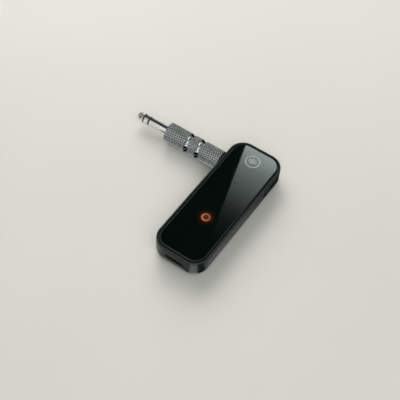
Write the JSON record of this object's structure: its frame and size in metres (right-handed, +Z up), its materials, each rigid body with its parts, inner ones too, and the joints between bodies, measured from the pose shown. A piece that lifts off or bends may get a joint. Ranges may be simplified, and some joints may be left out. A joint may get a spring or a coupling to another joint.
{
  "type": "bluetooth audio receiver",
  "caption": "Pocket Bluetooth audio dongle: gloss panel with a lit button, USB-C port, mode switch and a swivelling knurled 3.5 mm plug adapter in its side jack.",
  "frame": {"origin": "centre of the dongle's flat base face", "axes": "+Z up through the front panel, +Y toward the end with the jack, +X toward the mode switch side; the plug adapter leaves toward -X"},
  "size_m": [0.0588, 0.056, 0.0082],
  "materials": {
    "shell_plastic": "fine satin texture",
    "frame_plastic": "satin",
    "gloss_panel": "polished",
    "pale_print": "matte ink",
    "adhesive_film": "matte",
    "button_plastic": "smoked translucent",
    "lit_ring": "translucent, lit",
    "black_plastic": "moulded",
    "white_plastic": "moulded",
    "led_body": "clear lens",
    "board_mask": "solder mask",
    "steel": "stamped",
    "chip_epoxy": "moulded epoxy",
    "ceramic_part": "fired",
    "ferrite": "matte",
    "gold_contact": "gold flash",
    "foam": "foam",
    "cell_foil": "foil pouch",
    "red_wire": "insulation",
    "black_wire": "insulation",
    "amber_film": "polyimide film",
    "satin_barrel": "knurled and satin, grooves polished",
    "plug_plating": "nickel plate",
    "copper_wire": "bare copper",
    "natural_plastic": "moulded"
  },
  "bodies": {
    "casing": {"lower_shell": "shell_plastic", "upper_frame": "frame_plastic", "panel_adhesive": "adhesive_film", "front_panel": "gloss_panel", "panel_emblem": "pale_print", "tact_base": "black_plastic", "status_leds": "led_body", "light_shroud": "white_plastic", "circuit_board": "board_mask", "board_screws": "steel", "bluetooth_chip": "chip_epoxy", "audio_chip": "chip_epoxy", "charge_chip": "chip_epoxy", "crystal": "steel", "chip_antenna": "ceramic_part", "power_inductor": "ferrite", "board_passives": "ceramic_part", "microphone": "gold_contact", "mic_gasket": "foam", "battery_cell": "cell_foil", "battery_guard_board": "amber_film", "battery_pad": "foam", "lead_positive": "red_wire", "lead_negative": "black_wire", "insulating_sheet": "amber_film", "usb_shell": "steel", "usb_tongue": "black_plastic", "usb_contacts": "gold_contact", "jack_housing": "black_plastic", "jack_bush": "steel", "jack_tip_spring": "gold_contact", "jack_ring_spring": "gold_contact", "jack_sleeve_spring": "gold_contact", "switch_base": "black_plastic", "switch_cover": "steel", "switch_terminals": "gold_contact"},
    "power_button": {"button_cap": "button_plastic", "light_ring": "lit_ring"},
    "tact_plunger": {"tact_plunger": "black_plastic", "tact_dome": "steel"},
    "mode_switch": {"switch_actuator": "black_plastic", "switch_contact": "gold_contact", "switch_knob": "black_plastic"},
    "plug_washer": {"plug_washer": "black_plastic"},
    "adapter": {"adapter_sleeve": "satin_barrel", "adapter_bushes": "natural_plastic", "link_wires": "copper_wire", "free_plug_tip": "plug_plating", "free_plug_ring": "plug_plating", "free_plug_sleeve": "plug_plating", "free_plug_insulators": "black_plastic", "jack_plug_tip": "plug_plating", "jack_plug_ring": "plug_plating", "jack_plug_sleeve": "plug_plating", "jack_plug_insulators": "black_plastic"}
  },
  "joints": [
    {"name": "button_press", "type": "slide", "parent": "casing", "child": "power_button", "axis": [0, 0, -1], "range_m": [0, 0.00025], "stiffness_N_per_m": 800, "springref_m": -0.0005},
    {"name": "plunger_press", "type": "slide", "parent": "casing", "child": "tact_plunger", "axis": [0, 0, -1], "range_m": [0, 0.00025]},
    {"name": "mode_slide", "type": "slide", "parent": "casing", "child": "mode_switch", "axis": [0, 1, 0], "range_m": [0, 0.002]},
    {"name": "adapter_unplug", "type": "slide", "parent": "casing", "child": "plug_washer", "axis": [-1, 0, 0], "range_m": [0, 0.016]},
    {"name": "adapter_swivel", "type": "hinge", "parent": "plug_washer", "child": "adapter", "pos_m": [-0.01091, 0.0176, 0.004], "axis": [1, 0, 0], "continuous": true}
  ],
  "couplings": [
    {"joint": "plunger_press", "follows": "button_press", "ratio": 1}
  ]
}
